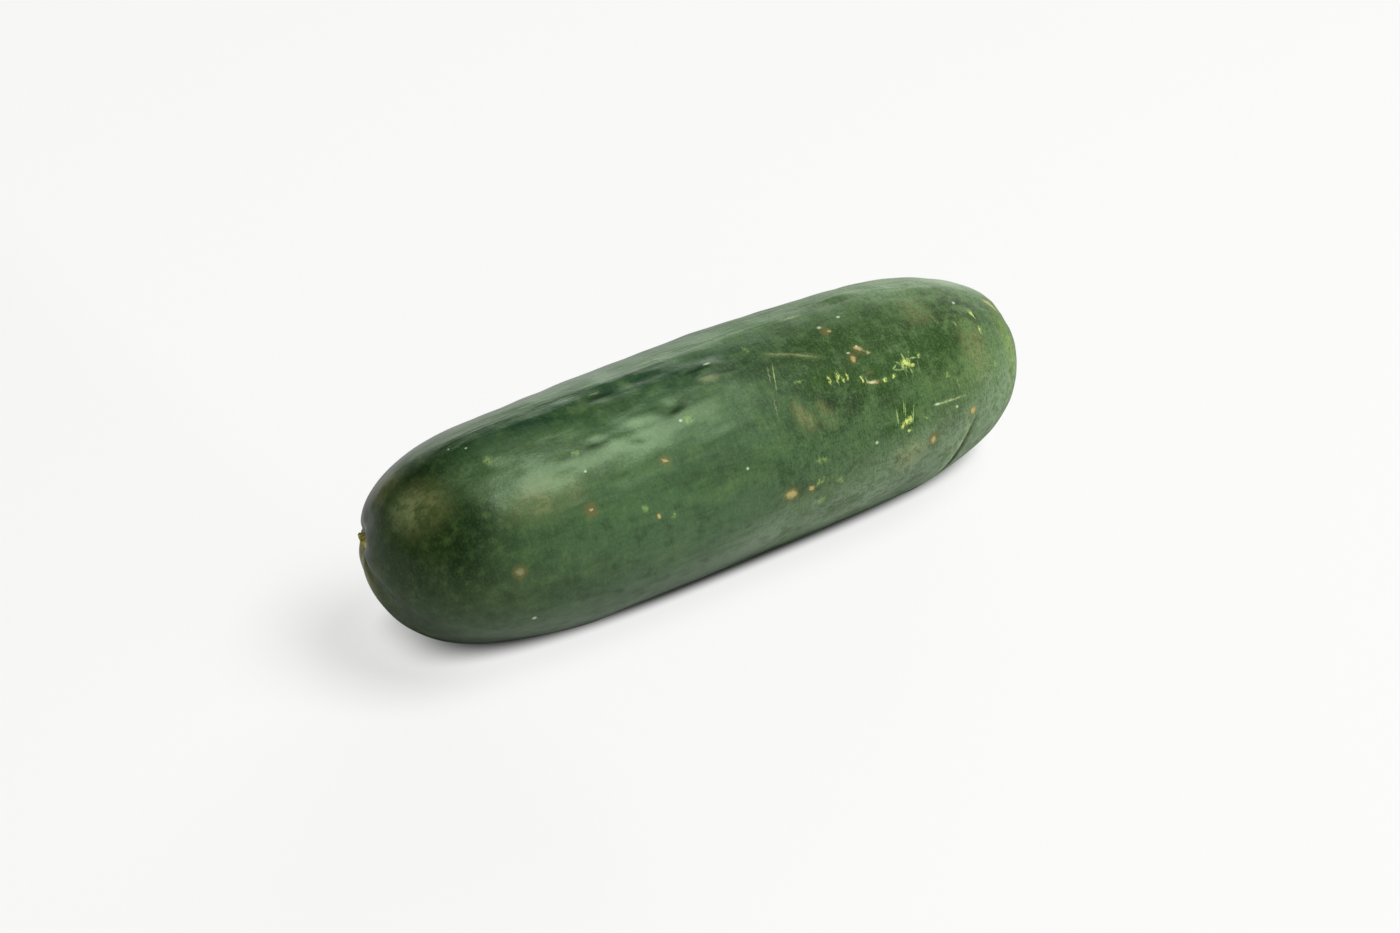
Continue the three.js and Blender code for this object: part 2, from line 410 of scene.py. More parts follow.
def new_look(name):
    """A material with an empty shader tree."""
    look = bpy.data.materials.new(name)
    look.use_nodes = True
    look.node_tree.nodes.clear()
    return look, look.node_tree


STEP_ALONG = 3                  # how far apart the skin is felt to find which way it faces
STEP_AROUND = 6
MARK_DEPTH = 8                  # how far a mark reaches in and out of the skin


def skin_frame(along, around, turn):
    """Where a mark lies on the skin, and how it is turned from lengthways to growing around."""
    steps = [(0, 0), (STEP_ALONG, 0), (-STEP_ALONG, 0), (0, STEP_AROUND), (0, -STEP_AROUND)]
    here, ahead, behind, left, right = in_frame(skin_points(
        [along + step for step, _ in steps], [around + step for _, step in steps]))
    forward = Vector(ahead - behind).normalized()
    out = Vector(left - right).cross(forward).normalized()
    turned = Matrix.Rotation(math.radians(-turn), 3, out) @ forward
    axes = Matrix((turned, out.cross(turned), out)).transposed()
    return tuple(here), tuple(axes.to_euler())


def mark_share(tree, where, marks, softness):
    """How much of any mark of a list covers a point.

    A mark is along, around, half length, half width and turn, in millimetres and degrees. Each
    is a ball of falling value, squeezed so that it has fallen to a half at its half sizes.
    """
    nearest = None
    for along, around, half_length, half_width, turn in marks:
        ball = add(tree, "TexGradient", {"Vector": where}, gradient_type="SPHERICAL")
        place, rotation = skin_frame(along, around, turn)
        ball.texture_mapping.vector_type = "TEXTURE"
        ball.texture_mapping.translation = place
        ball.texture_mapping.rotation = rotation
        ball.texture_mapping.scale = (2 * half_length * MM, 2 * half_width * MM, MARK_DEPTH * MM)
        near = ball.outputs["Fac"]
        nearest = near if nearest is None else larger(tree, nearest, near)
    return remap(tree, nearest, 0.5 - softness / 2, 0.5 + softness / 2)


# Soft patches of colour, which are marks as mark_share takes them.
DEEP_PATCHES = [
    (16, 50, 9, 8, 0), (12, 2, 9, 6, 0), (6, -38, 7, 9, 0), (13, 62, 8, 8, 0),
    (112, 16, 22, 6, 0), (124, 32, 22, 9, 0), (150, 30, 16, 9, 0), (118, 50, 14, 6, 0),
    (168, 24, 14, 12, 0), (70, 190, 14, 8, 0),
]
TOP_BAND = [(45, 3, 24, 5.5, 0), (80, 4, 26, 5.5, 0), (68, 5, 10, 3.5, 0)]
LUSH_PATCHES = [
    (141, 40, 9, 4.5, 0), (152, 38, 7, 4, 0), (133, 47, 10, 4, 0), (134, 73, 5, 4, 0),
    (116, 38, 6, 3, 0), (125, 22, 14, 6, 0), (128, 40, 10, 5, 0), (147, 44, 9, 5, 0),
    (60, 260, 12, 6, 0),
]
# Pale patches: those along the top between 98 and 147 along and the one at the stem tip are painted
# sheen, the rest the skin's own paler tone.
PALE_AND_SHEEN_PATCHES = [
    (126, -3, 22, 6, 0), (147, 2, 10, 5, 0), (172, 60, 7, 14, 0), (135.5, 91, 2, 1.4, 0),
    (168, 88, 14, 14, 0), (7, 20, 4, 4, 0), (98, -7, 14, 4, 0), (130, 2, 14, 5, 0),
    (112, -6, 12, 3.5, 0), (174, 6, 8, 5, 0), (30, 20, 14, 5, 0), (90, -160, 20, 9, 0),
]
# A pale grey veil low in front. The last two patches, low on the blossom end, are also painted light,
# where light falls on it from the right.
DUSTY_AND_LIT_PATCHES = [
    (146, 100, 24, 9, 0), (172, 96, 13, 12, 0), (112, 108, 26, 6, 0), (155, 113, 20, 5, 0),
    (172, 106, 15, 8, 0), (179, 88, 8, 10, 0),
]
SMUDGES = [
    (35, 46, 7, 3.5, 0), (104.5, 51, 1.6, 3.2, 0), (106.5, 55, 1.6, 2.6, 0),
    (111, 55, 1.6, 2.6, 0), (113, 58, 1.2, 2.0, 0), (7, -16, 4, 3.5, 0), (163, 52, 4, 6, 0),
    (9, 23, 6, 5, 0), (107, 18, 3, 0.6, 25), (114, 24.5, 3, 0.6, 25), (134, 92, 4, 3, 0),
    (37, 44, 5, 3, 0), (150, 20, 3.5, 3.5, 0), (70, 220, 6, 4, 0), (130, 260, 8, 4, 20),
]

# The lobe behind the stem has faded to an olive brown, and the blossom end is yellowing in front.
FADED_LOBE = [(1.5, -125, 5, 10, 0)]
YELLOWED = [(179, 62, 3.5, 10, 0)]

# Corky spots: first the brown ring that each one has, then its tan middle, then pale tips.
RUSSET = [
    (24, 77, 1.7, 1.5, 0), (44, 58, 1.6, 1.7, 0), (97, 87, 2.3, 1.7, 10), (103, 88, 1.3, 1.1, 0),
    (142, 89, 1.6, 2.2, 100), (157, 85, 1.6, 1.3, 0), (66, 48, 1.5, 1.2, 30),
    (123, 15, 1.5, 1.0, 100), (125, 34, 1.5, 1.2, 100), (128, 31, 1.6, 1.2, 30),
    (127.5, 49, 1.8, 0.6, 15), (127.5, 44, 0.9, 0.5, 0), (60, 72, 0.8, 0.7, 0),
    (38, 205, 1.9, 1.5, 0), (118, 228, 2.1, 1.4, 20), (60, 300, 1.9, 1.5, 0),
    (188.5, 0, 3.4, 2.8, 0),
]
CORKY_SPOTS = [
    (44, 58, 0.36, 0.32, 0), (188.5, 0, 2.6, 2.0, 0), (97, 87, 1.5, 1.0, 10),
    (103, 88, 0.7, 0.6, 0), (142, 90, 0.7, 0.9, 0), (157, 85, 0.9, 0.8, 0),
    (66, 48, 0.8, 0.4, 30), (60, 72, 0.4, 0.4, 0), (125, 35, 0.6, 0.7, 0),
    (124, 16, 0.5, 0.4, 0), (128, 30, 0.9, 0.5, 20), (127.3, 49, 1.4, 0.35, 15),
    (130, 34, 0.4, 0.6, 0), (178, 20, 2.6, 0.7, 32), (38, 205, 1.5, 1.2, 0),
    (76, 250, 1.2, 1.0, 0), (118, 228, 1.8, 1.2, 20), (150, 275, 1.0, 1.0, 0),
    (60, 300, 1.6, 1.3, 0), (98, 325, 0.9, 0.9, 0), (165, 210, 1.3, 1.1, 0),
]
PALE_TIPS = [
    (129.5, 9, 0.45, 0.3, 0), (164, 20, 0.4, 0.35, 0), (123.5, 78, 0.35, 0.35, 0),
    (86, 66, 0.3, 0.28, 0), (46, 40, 0.26, 0.24, 0), (27, 107, 0.45, 0.36, 0),
    (89, 10, 0.8, 0.25, 0), (22, -2, 0.2, 0.2, 0), (25, 4, 0.25, 0.2, 0),
    (151, 78, 0.35, 0.3, 0), (74, 33, 0.35, 0.3, 0), (122.3, 12, 0.45, 0.4, 0),
    (124.6, 31, 0.4, 0.2, 10), (128, 29, 0.3, 0.2, 0), (127, 49, 0.9, 0.22, 15),
    (144.5, 72, 0.7, 0.25, 10), (40, -60, 0.4, 0.4, 0), (82, -80, 0.4, 0.4, 0),
    (120, -50, 0.4, 0.4, 0), (155, -85, 0.4, 0.4, 0), (62, 225, 0.4, 0.4, 0),
]

# Nicks that healed yellow-green: their bodies, and the hair-fine streaks that run from them.
NICKS = [
    (138.8, 45.8, 1.2, 1.1, 18), (133.6, 74, 1.6, 0.7, -3), (132.4, 75, 0.7, 0.4, -40),
    (135, 73.6, 0.5, 0.6, 0), (116.0, 40.5, 0.35, 0.9, 0), (118.6, 40, 0.5, 1.0, 10),
    (119.8, 42.6, 0.4, 0.6, 0), (121.2, 41.5, 0.3, 0.9, 0), (124.8, 45.5, 0.3, 0.9, 10),
    (125.8, 47.5, 0.3, 0.5, 0), (131.0, 50, 0.6, 0.5, 40), (133.8, 50, 0.7, 0.3, 128),
    (143.4, 45, 0.55, 0.3, 110), (140.3, 48, 0.6, 0.4, 0), (167.3, 42, 1.0, 0.35, 105),
    (167.3, 30, 1.2, 0.5, 78), (134, 79, 0.5, 0.35, 12), (0.5, -105, 1.0, 0.8, 0),
    (142, -95, 1.2, 0.8, 0), (90, -120, 0.9, 1.2, 30),
]
FAINT_NICKS = [
    (140.3, 76, 0.8, 0.3, 34), (154, 28, 1.2, 0.5, 82), (159.7, 34, 0.7, 0.4, 64),
    (107, 76, 1.5, 0.6, 20), (106, 86, 1.6, 0.6, -20), (106, 98, 1.4, 0.7, 0),
    (27, 17, 0.9, 0.9, 0), (57, 66, 0.7, 0.7, 0), (64, 74, 0.7, 0.6, 0),
    (101, 8, 0.9, 0.4, 70), (108, 36, 1.1, 0.3, 10), (168.7, 66, 0.9, 0.4, 98),
    (112, 90, 1.0, 0.6, 30), (76, 34, 1.0, 0.8, 0), (46, 30, 0.8, 0.7, 0),
    (150, 60, 1.0, 0.6, 60),
]
STREAKS = [
    (131.1, 70, 1.6, 0.2, 95), (133.6, 67, 2.1, 0.17, 106), (133.8, 69, 2.0, 0.16, 107),
    (135.6, 73, 1.3, 0.18, 100), (136.3, 71, 2.0, 0.16, 107), (140.6, 43, 1.2, 0.22, 116),
    (136.1, 48, 1.6, 0.2, 14), (135, 46, 0.9, 0.2, 154), (102.8, 29, 3.2, 0.16, 114),
    (72, -140, 3.5, 0.25, 20), (138.8, 43.2, 1.5, 0.22, 90), (137.4, 47.6, 1.5, 0.2, 60),
    (139.4, 49.5, 1.9, 0.2, 95), (141.2, 44.6, 1.5, 0.22, 10), (118.2, 41, 1.6, 0.16, 95),
    (136.8, 44.4, 1.2, 0.2, 20), (149, 73, 4.5, 0.2, 5),
]
# Faint pale streaks. The ones at 60 and 79.5 along are painted glints on the ridges on top, and the one
# at 87 along is a painted highlight on the lit flank below the wart.
FAINT_STREAKS_AND_GLINTS = [
    (101.8, 27, 2.0, 0.14, 112), (153, 66, 1.2, 0.2, 90), (137.5, 50, 1.6, 0.15, 100),
    (142, 50, 1.4, 0.15, 105), (129, 32, 1.8, 0.16, 40), (108, 18.5, 3.2, 0.22, 25),
    (113, 23.5, 2.8, 0.2, 27), (119, -2, 2.4, 0.4, 0), (99, 44, 2.6, 0.14, 104),
    (79.5, -9, 4.0, 0.4, 6), (60, 0.5, 1.2, 0.3, 0), (87, 17.5, 2.4, 1.0, 10),
    (151.6, 106, 7.0, 0.8, 123), (149, 73, 4.7, 0.3, 5), (24, 77, 0.8, 0.7, 0),
]

# Painted shade in the bottoms of the crease and of the tight folds beside the warts on top.
PAINTED_FOLD_SHADE = [
    (153.9, 108, 8.0, 0.8, 123), (152.6, 113, 7.0, 1.0, 123), (85, 11, 3.4, 0.35, 4),
    (92, 17, 3.2, 0.35, 8), (88, 15.5, 2.4, 0.3, 0), (74.5, 27.5, 2.4, 0.8, -10),
    (60.8, 3.4, 3.2, 0.6, 5), (50.8, 29, 1.3, 0.5, 0), (74, -3.5, 6.0, 0.5, 4),
]

STEM_GREEN = colour(0.11, 0.18, 0.04)
MIDDLE_GREEN = colour(0.225, 0.335, 0.21)
BLOSSOM_GREEN = colour(0.335, 0.45, 0.255)
DEEP_GREEN = colour(0.05, 0.13, 0.03)
BAND_GREEN = colour(0.0, 0.20, 0.11)
LUSH_GREEN = colour(0.10, 0.245, 0.0)
WAXY_GREEN = colour(0.42, 0.53, 0.38)
YELLOW_GREEN = colour(0.45, 0.54, 0.30)
BLOOM_GREY = colour(0.39, 0.45, 0.38)
DUST_AND_LIGHT_GREY = colour(0.57, 0.65, 0.54)
OLIVE_BROWN = colour(0.58, 0.58, 0.38)
FADED_OLIVE = colour(0.60, 0.52, 0.20)
RIPE_YELLOW = colour(0.56, 0.66, 0.24)
RUSSET_BROWN = colour(0.41, 0.35, 0.19)
CORK_TAN = colour(0.72, 0.66, 0.44)
HEALED_GREEN = colour(0.80, 0.86, 0.48)
FAINT_HEALED_GREEN = colour(0.64, 0.74, 0.42)
STREAK_GREEN = colour(0.66, 0.75, 0.48)
STREAK_AND_GLINT_TAN = colour(0.70, 0.72, 0.55)
FOLD_SHADE_GREEN = colour(0.04, 0.09, 0.04)
SCAR_WHITE = colour(0.80, 0.86, 0.74)

skin_look, tree = new_look("cucumber_skin")
where = add(tree, "TexCoord").outputs["Object"]
x, y, z = add(tree, "SeparateXYZ", {0: where}).outputs

# Marks have ragged edges, because the coordinates that place them wander a little.
WANDER_SIZE = 0.7
WANDER_REACH = 1.5
wander_scale = 1 / (WANDER_SIZE * MM)
wander = add(tree, "TexNoise", {"Vector": where, "Scale": wander_scale, "Detail": 3.0}).outputs["Color"]
wander = vector_node(tree, "SUBTRACT", {0: wander, 1: (0.5, 0.5, 0.5)})
wander = vector_node(tree, "SCALE", {0: wander, 3: WANDER_REACH * MM})
ragged = vector_node(tree, "ADD", {0: where, 1: wander})

# The skin's patterns, from the broadest to the finest.
patchy = noise_node(tree, where, (1.4, 1.0, 1.0), 22.0, detail=3.0, roughness=0.6)
broad = noise_node(tree, where, (3.0, 1.0, 1.0), 9.0, detail=3.0)
cloudy = noise_node(tree, where, (1.3, 1.0, 1.0), 3.2, detail=3.0, roughness=0.6)
streaky = noise_node(tree, where, (9.0, 1.0, 1.0), 1.3, detail=3.0, roughness=0.6)
mottle = noise_node(tree, where, (0.8, 1.2, 1.2), 0.9, detail=4.0, roughness=0.75)
ringwise = noise_node(tree, where, (1.0, 7.0, 7.0), 0.7, detail=3.0, roughness=0.65)
speckle = noise_node(tree, where, (0.8, 1.2, 1.2), 0.4, detail=2.0)

# The ground colour changes along the fruit.
skin_colour = tint(tree, remap(tree, x, -98 * MM, -35 * MM), STEM_GREEN, MIDDLE_GREEN)
skin_colour = tint(tree, remap(tree, x, 0.0, 94 * MM), skin_colour, BLOSSOM_GREEN)
skin_colour = tint(tree, remap(tree, x, 55 * MM, 94 * MM, 0.0, 0.3), skin_colour, WAXY_GREEN)

# A grey bloom lies low on the sides, more of it towards the blossom end. Near the floor the bloom gives
# way to painted shade: the lowest skin is painted deep green for the shadow where the fruit meets the
# floor.
low_on_sides = times(tree, remap(tree, z, 42 * MM, 14 * MM), remap(tree, z, 5 * MM, 13 * MM))
bloom = times(tree, low_on_sides, remap(tree, x, -70 * MM, 60 * MM, 0.3, 0.74))
skin_colour = tint(tree, bloom, skin_colour, BLOOM_GREY)
# Painted shade: the skin darkens towards deep green close to the floor.
painted_contact_shade = remap(tree, z, 13 * MM, 5 * MM, 0.0, 0.8)
skin_colour = tint(tree, painted_contact_shade, skin_colour, DEEP_GREEN)

# The soft patches, each with its strength, broken up by the skin's clouding. Some of the pale ones are
# painted sheen.
PATCH_SOFTNESS = 0.95
for patches, share, over in (
    (DEEP_PATCHES, 0.72, DEEP_GREEN), (TOP_BAND, 0.72, BAND_GREEN), (LUSH_PATCHES, 0.95, LUSH_GREEN),
    (PALE_AND_SHEEN_PATCHES, 0.42, WAXY_GREEN), (DUSTY_AND_LIT_PATCHES, 0.55, DUST_AND_LIGHT_GREY), (SMUDGES, 0.38, OLIVE_BROWN),
    (FADED_LOBE, 1.0, FADED_OLIVE), (YELLOWED, 0.4, RIPE_YELLOW),
):
    cover = mark_share(tree, where, patches, PATCH_SOFTNESS)
    broken = remap(tree, cloudy, 0.35, 0.6, 0.3 * share, 1.4 * share)
    skin_colour = tint(tree, times(tree, cover, broken), skin_colour, over)

# The grain of the skin: clouds and lengthways streaks, then fine rings across, a mottle and a
# speckle, which are stronger on the upper side and towards the blossom end.
for pattern, low, high, share, over in (
    (patchy, 0.5, 0.72, 0.35, DEEP_GREEN), (broad, 0.5, 0.75, 0.14, YELLOW_GREEN),
    (cloudy, 0.5, 0.7, 0.42, DEEP_GREEN), (cloudy, 0.48, 0.3, 0.14, YELLOW_GREEN),
    (streaky, 0.5, 0.7, 0.25, DEEP_GREEN),
):
    skin_colour = tint(tree, remap(tree, pattern, low, high, 0.0, share), skin_colour, over)
grainy = times(tree, remap(tree, x, -20 * MM, 30 * MM, 0.4, 1.0),
               remap(tree, z, 12 * MM, 34 * MM, 0.4, 1.0))
for pattern, share in ((ringwise, 0.28), (mottle, 0.5), (speckle, 0.4)):
    darker = times(tree, remap(tree, pattern, 0.5, 0.68, 0.0, share), grainy)
    skin_colour = tint(tree, darker, skin_colour, DEEP_GREEN)
    paler = times(tree, remap(tree, pattern, 0.47, 0.3, 0.0, 0.6 * share), grainy)
    skin_colour = tint(tree, paler, skin_colour, YELLOW_GREEN)

# The small marks, each with its strength. Specks break up the nicks and the clearer streaks.
specks = remap(tree, mottle, 0.58, 0.46, 0.15, 1.0)
russet = mark_share(tree, ragged, RUSSET, 0.6)
corky = mark_share(tree, ragged, CORKY_SPOTS, 0.5)
nicked = times(tree, mark_share(tree, ragged, NICKS, 0.7), specks)
faintly_nicked = times(tree, mark_share(tree, ragged, FAINT_NICKS, 0.9), specks)
streaked = times(tree, mark_share(tree, where, STREAKS, 0.6), specks)
# Faint streaks, with painted glints and a painted highlight among them.
faint_streaks_and_glints = mark_share(tree, ragged, FAINT_STREAKS_AND_GLINTS, 0.8)
# Painted shade in the crease and the folds.
fold_shade = mark_share(tree, where, PAINTED_FOLD_SHADE, 0.9)
scarred = mark_share(tree, where, PALE_TIPS, 0.9)
for cover, share, over in (
    (russet, 0.6, RUSSET_BROWN), (corky, 0.75, CORK_TAN), (faintly_nicked, 0.45, FAINT_HEALED_GREEN),
    (nicked, 0.95, HEALED_GREEN), (streaked, 0.7, STREAK_GREEN),
    (faint_streaks_and_glints, 0.3, STREAK_AND_GLINT_TAN), (fold_shade, 0.8, FOLD_SHADE_GREEN), (scarred, 0.75, SCAR_WHITE),
):
    skin_colour = tint(tree, times(tree, cover, share), skin_colour, over)
marked = larger(tree, corky, nicked)

# The wax is whole on the stem half and rubbed duller beyond the middle, most of all in front.
STEM_ROUGHNESS = 0.295
BLOSSOM_ROUGHNESS = 0.42
RUBBED_IN_FRONT = 0.22
RUBBED_BEHIND = 0.08
UNEVEN_WAX = 0.06
ROUGHER_MARKS = 0.25
rub_edge = plus(tree, x, times(tree, patchy, 30 * MM))
rub_edge = plus(tree, rub_edge, times(tree, mottle, 6 * MM))
rubbed = times(tree, remap(tree, rub_edge, 10 * MM, 24 * MM),
               remap(tree, y, -7 * MM, 3 * MM, RUBBED_IN_FRONT, RUBBED_BEHIND))
roughness = remap(tree, x, -38 * MM, -2 * MM, STEM_ROUGHNESS, BLOSSOM_ROUGHNESS)
roughness = plus(tree, roughness, rubbed)
roughness = plus(tree, roughness, remap(tree, patchy, 0.35, 0.65, 0.0, UNEVEN_WAX))
roughness = plus(tree, roughness, times(tree, marked, ROUGHER_MARKS))

# The wrinkles run lengthways over the top of the fruit, where the light from behind skims them.
WRINKLE_DEPTH = 0.5
GRAIN_DEPTH = 0.1
wrinkled = times(tree, remap(tree, z, 51.5 * MM, 54.5 * MM, 0.04, 1.0),
                 remap(tree, y, -3 * MM, 4 * MM, 0.25, 1.0))
wrinkles = times(tree, noise_node(tree, where, (5.0, 1.0, 1.0), 2.2, detail=2.0), wrinkled)
wrinkle_bump = add(tree, "Bump", {"Height": wrinkles, "Strength": 0.8, "Distance": WRINKLE_DEPTH * MM})
grain_height = mottle
for pattern, share in ((cloudy, 2.0), (speckle, 0.4), (marked, 1.2)):
    grain_height = plus(tree, grain_height, times(tree, pattern, share))
grain = add(tree, "Bump", {"Height": grain_height, "Strength": 0.45, "Distance": GRAIN_DEPTH * MM,
                           "Normal": wrinkle_bump.outputs[0]})

# The wax is worn off underneath, so the skin shines less there.
skin_shader = add(tree, "BsdfPrincipled", {
    "Base Color": skin_colour,
    "Roughness": roughness,
    "Normal": grain.outputs[0],
    "IOR": 1.46,
    "Specular IOR Level": remap(tree, z, 6 * MM, 14 * MM, 0.1, 0.5),
    "Specular Tint": (0.72, 1.0, 0.64, 1),
})
add(tree, "OutputMaterial", {"Surface": skin_shader.outputs[0]})
fruit.data.materials.append(skin_look)


# ---- The stem stub ------------------------------------------------------------------------------
# The dry remnant of the stem, snapped off aslant in the dimple: five-ridged, straw brown and
# fibrous, with a wider foot where it still grows out of the fruit.

STUB_FOOT_RADIUS = 2.4
STUB_WAIST_RADIUS = 1.3
STUB_TOP_RADIUS = 1.4
STUB_HEIGHT = 2.4
STUB_SHORT_SIDE = 0.9
STUB_LONG_AROUND = math.radians(90)
STUB_RIDGES = 5
STUB_RIDGE_SHARE = 0.08
STUB_UNEVEN_SHARE = 0.05
STUB_UNEVEN_FINENESS = 1.7
STUB_RAGGED_TOP = 0.15
STUB_RAGGED_FINENESS = 2.3
STUB_SECTORS = 60
STUB_OUTLINE = [(0.0, -0.6), (STUB_FOOT_RADIUS, 0.2), (1.9, 0.5), (STUB_WAIST_RADIUS, 0.9),
                (STUB_WAIST_RADIUS, 1.6), (STUB_TOP_RADIUS, 2.2), (STUB_TOP_RADIUS - 0.3, STUB_HEIGHT),
                (0.9, 2.3), (0.5, 2.1), (0.0, 2.0)]
SEAT_ALONG = 0.3                # the ring of skin round the pole that the stub stands square to
SEAT_POINTS = 24

pole = skin_points([0], [0])[0]
ring_around = np.linspace(0, 360, SEAT_POINTS, endpoint=False)
ring = skin_points([SEAT_ALONG] * SEAT_POINTS, ring_around) - pole
seat_out = Vector(np.cross(ring, np.roll(ring, -1, axis=0)).sum(axis=0)).normalized()
if seat_out.x > 0:
    seat_out.negate()
stand = seat_out.to_track_quat("Z", "Y").to_matrix()

stub_form = bmesh.new()
stub_points = [stub_form.verts.new((radius, 0, height)) for radius, height in STUB_OUTLINE]
stub_edges = [stub_form.edges.new(pair) for pair in zip(stub_points, stub_points[1:])]
bmesh.ops.spin(stub_form, geom=stub_points + stub_edges, cent=(0, 0, 0), axis=(0, 0, 1),
               angle=2 * math.pi, steps=STUB_SECTORS, use_merge=True)
bmesh.ops.remove_doubles(stub_form, verts=stub_form.verts, dist=MERGE_DISTANCE)
bmesh.ops.subdivide_edges(stub_form, edges=stub_form.edges, cuts=1, use_grid_fill=True, smooth=0.0)
bmesh.ops.recalc_face_normals(stub_form, faces=stub_form.faces)
for vertex in stub_form.verts:
    angle = math.atan2(vertex.co.y, vertex.co.x)
    ridged = 1 + STUB_RIDGE_SHARE * math.cos(STUB_RIDGES * angle)
    ridged += STUB_UNEVEN_SHARE * noise.noise(vertex.co * STUB_UNEVEN_FINENESS)
    above = max(vertex.co.z - STUB_SHORT_SIDE, 0)
    snapped = above * (0.5 + 0.5 * math.cos(angle - STUB_LONG_AROUND))
    snapped += STUB_RAGGED_TOP * noise.noise(vertex.co * STUB_RAGGED_FINENESS)
    height = vertex.co.z - above + snapped
    local = Vector((vertex.co.x * ridged, vertex.co.y * ridged, height))
    vertex.co = in_frame(pole + np.array(stand @ local))
stub = put_in_scene("stem_remnant", stub_form)
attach(stub, "root")
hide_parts("stem_stub")

STRAW = colour(0.68, 0.62, 0.24)
PALE_STRAW = colour(0.90, 0.86, 0.48)
FIBRE_DEPTH = 0.2
stub_look, tree = new_look("dry_stem")
where = add(tree, "TexCoord").outputs["Object"]
fibres = noise_node(tree, where, (4.0, 1.0, 1.0), 0.35, detail=3.0)
stub_colour = tint(tree, remap(tree, fibres, 0.35, 0.65), STRAW, PALE_STRAW)
fibre_bump = add(tree, "Bump", {"Height": fibres, "Strength": 0.6, "Distance": FIBRE_DEPTH * MM})
stub_shader = add(tree, "BsdfPrincipled", {
    "Base Color": stub_colour,
    "Roughness": 0.75,
    "Normal": fibre_bump.outputs[0],
})
add(tree, "OutputMaterial", {"Surface": stub_shader.outputs[0]})
stub.data.materials.append(stub_look)


# ---- The floor, the light and the camera ----------------------------------------------------------
# A plain white table under one wide soft lamp, in a dim room with a window behind on the right
# and paler walls behind and in front. None of it is part of the cucumber.

FLOOR_HALF = 3.0
CONTACT_CENTRE = (0.006, 0.010, 0.0)         # the contact shadow: a squarish oval under the fruit
CONTACT_REACH = (0.078, 0.0205, 1.0)
CONTACT_POWER = 3.0                          # an oval has 2, and a higher power squares its corners
SHADED_WHITE = (0.22, 0.22, 0.23, 1)
OPEN_WHITE = (0.90, 0.885, 0.91, 1)
SEEN_WHITE = (0.955, 0.955, 0.95, 1)

floor_form = bmesh.new()
bmesh.ops.create_grid(floor_form, x_segments=1, y_segments=1, size=FLOOR_HALF)
floor = put_in_scene("floor", floor_form)

floor_look, tree = new_look("floor")
path = add(tree, "LightPath").outputs
spot = add(tree, "TexCoord").outputs["Object"]
floor_x, floor_y, _ = add(tree, "SeparateXYZ", {0: spot}).outputs

# How far out from the middle of the contact shadow a point lies: 1 at the edge of its oval.
offset = vector_node(tree, "SUBTRACT", {0: spot, 1: CONTACT_CENTRE})
offset = vector_node(tree, "DIVIDE", {0: offset, 1: CONTACT_REACH})
offset = vector_node(tree, "ABSOLUTE", {0: offset})
offset_x, offset_y, _ = add(tree, "SeparateXYZ", {0: offset}).outputs
from_fruit = plus(tree, math_node(tree, "POWER", offset_x, CONTACT_POWER),
                  math_node(tree, "POWER", offset_y, CONTACT_POWER))
from_fruit = math_node(tree, "POWER", from_fruit, 1 / CONTACT_POWER)

# The floor is darker close in front, where the fruit's belly keeps the light out.
open_floor = larger(tree, remap(tree, from_fruit, 0.95, 1.16), remap(tree, floor_y, 0.0, 0.014))
floor_colour = tint(tree, open_floor, SHADED_WHITE, OPEN_WHITE)
lit_floor = add(tree, "BsdfDiffuse", {"Color": floor_colour})

# Away from the fruit it is seen mostly as plain white, and the wax mirrors it, dimly where it is near.
seen_white = remap(tree, from_fruit, 1.0, 1.23, 0.0, 0.86)
seen_white = times(tree, seen_white, remap(tree, floor_x, -0.100, -0.065, 0.78, 1.0))
whiter = larger(tree, path["Is Glossy Ray"], times(tree, path["Is Camera Ray"], seen_white))
mirrored_white = larger(tree, remap(tree, from_fruit, 1.0, 1.8, 0.02, 0.55),
                        remap(tree, from_fruit, 3.0, 9.0, 0.0, 0.9))
mirrored_white = times(tree, path["Is Glossy Ray"], mirrored_white)
white_strength = larger(tree, path["Is Camera Ray"], mirrored_white)
white_floor = add(tree, "Emission", {"Color": SEEN_WHITE, "Strength": white_strength})
floor_shader = add(tree, "MixShader",
                   {0: whiter, 1: lit_floor.outputs[0], 2: white_floor.outputs[0]})
add(tree, "OutputMaterial", {"Surface": floor_shader.outputs[0]})
floor.data.materials.append(floor_look)

ROOM_COLOUR = (0.92, 1.0, 0.89, 1)
ROOM_STRENGTH = 0.08
ROOM_GLOWS = [                               # towards, spread in degrees, strength
    ((0.80, 0.58, 0.14), 26, 5.7),           # the window behind on the right
    ((-0.80, 0.58, 0.15), 28, 0.15),         # the wall that it lights on the left
    ((0.20, -0.93, 0.28), 50, 1.1),          # the pale wall in front
    ((0.40, 0.90, 0.13), 33, 1.3),           # the pale wall behind
]

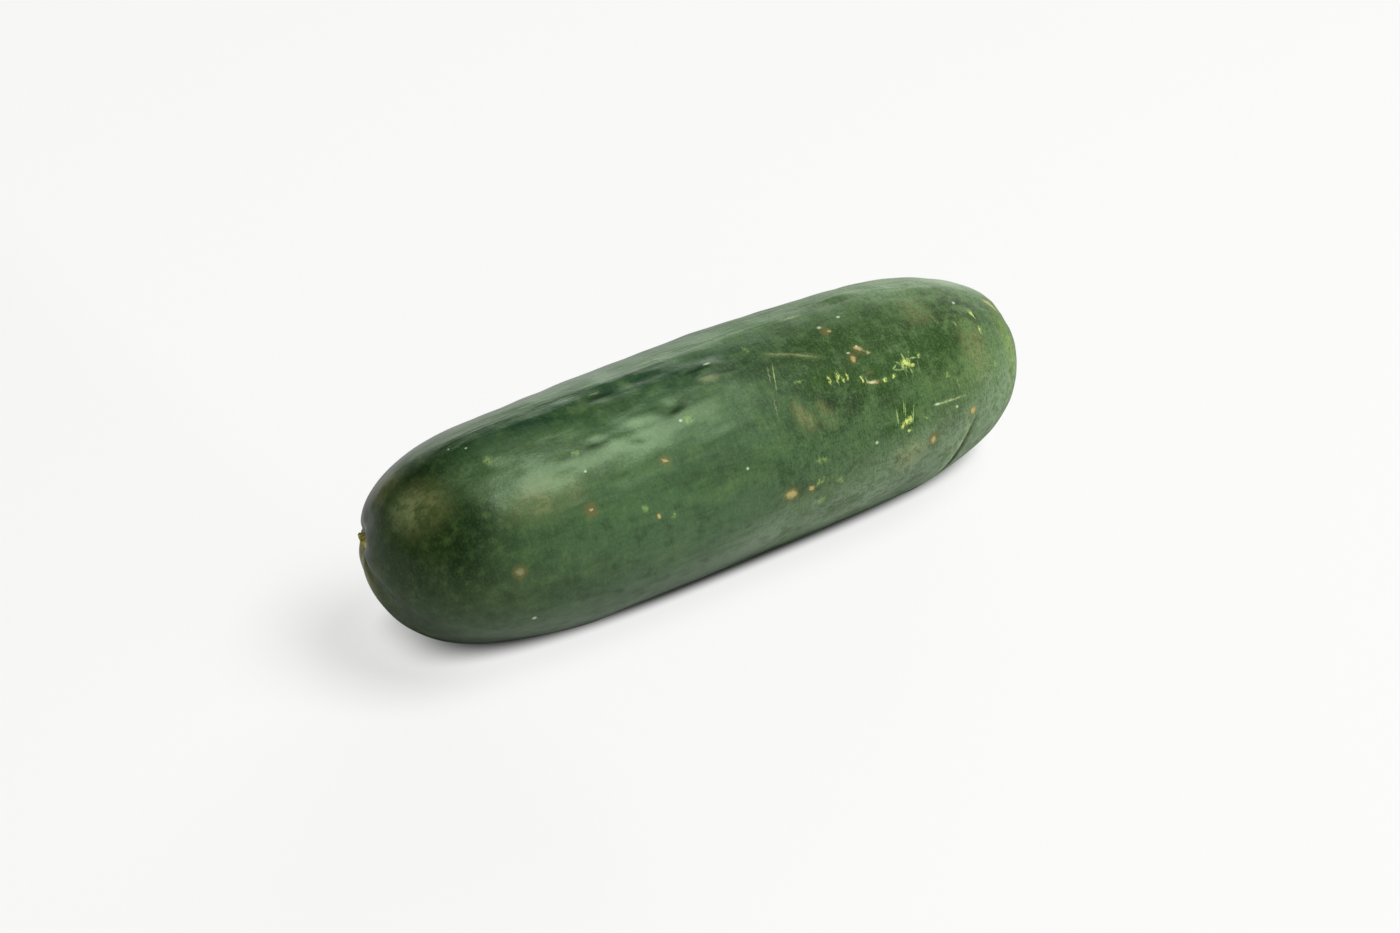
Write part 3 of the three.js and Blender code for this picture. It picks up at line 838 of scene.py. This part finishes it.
world = bpy.data.worlds.new("studio")
bpy.context.scene.world = world
world.use_nodes = True
tree = world.node_tree
tree.nodes.clear()
direction = add(tree, "TexCoord").outputs["Generated"]
brightness = ROOM_STRENGTH
for towards, spread, strength in ROOM_GLOWS:
    near = add(tree, "VectorMath", {0: direction, 1: Vector(towards).normalized()},
               operation="DOT_PRODUCT").outputs["Value"]
    glow = remap(tree, near, math.cos(math.radians(spread)), 1.0, 0.0, strength)
    brightness = plus(tree, glow, brightness)
room = add(tree, "Background", {"Color": ROOM_COLOUR, "Strength": brightness})
white = add(tree, "Background", {"Color": (1, 1, 1, 1), "Strength": 1.0})
seen = add(tree, "LightPath").outputs["Is Camera Ray"]
shown = add(tree, "MixShader", {0: seen, 1: room.outputs[0], 2: white.outputs[0]})
add(tree, "OutputWorld", {"Surface": shown.outputs[0]})

LAMP_SIZE = (0.95, 0.85)
LAMP_PLACE = Vector((0.52, -0.62, 1.5))
LAMP_AIM = Vector((0, 0, 0.03))
LAMP_WATTS = 28
LAMP_COLOUR = (1.0, 0.985, 0.96)
lamp_data = bpy.data.lights.new("soft_lamp", "AREA")
lamp_data.shape = "RECTANGLE"
lamp_data.size, lamp_data.size_y = LAMP_SIZE
lamp_data.energy = LAMP_WATTS
lamp_data.color = LAMP_COLOUR
lamp = bpy.data.objects.new("soft_lamp", lamp_data)
lamp.location = LAMP_PLACE
lamp.rotation_euler = (LAMP_PLACE - LAMP_AIM).to_track_quat("Z", "Y").to_euler()
bpy.context.scene.collection.objects.link(lamp)

VIEW_AZIMUTH = math.radians(-35.9)
VIEW_ELEVATION = math.radians(32)
VIEW_DISTANCE = 0.575
VIEW_AIM = (-3.7, 0.0, 24.65)                # millimetres about the fruit's own middle
SENSOR_WIDTH = 36
LENS = 60
aim = Vector(in_frame(np.array(VIEW_AIM)))
back = Vector((math.sin(VIEW_AZIMUTH) * math.cos(VIEW_ELEVATION),
               -math.cos(VIEW_AZIMUTH) * math.cos(VIEW_ELEVATION), math.sin(VIEW_ELEVATION)))
camera_data = bpy.data.cameras.new("camera")
camera_data.sensor_width = SENSOR_WIDTH
camera_data.lens = LENS
camera = bpy.data.objects.new("camera", camera_data)
camera.location = aim + back * VIEW_DISTANCE
camera.rotation_euler = back.to_track_quat("Z", "Y").to_euler()
bpy.context.scene.collection.objects.link(camera)
bpy.context.scene.camera = camera
bpy.context.scene.view_settings.view_transform = "Standard"
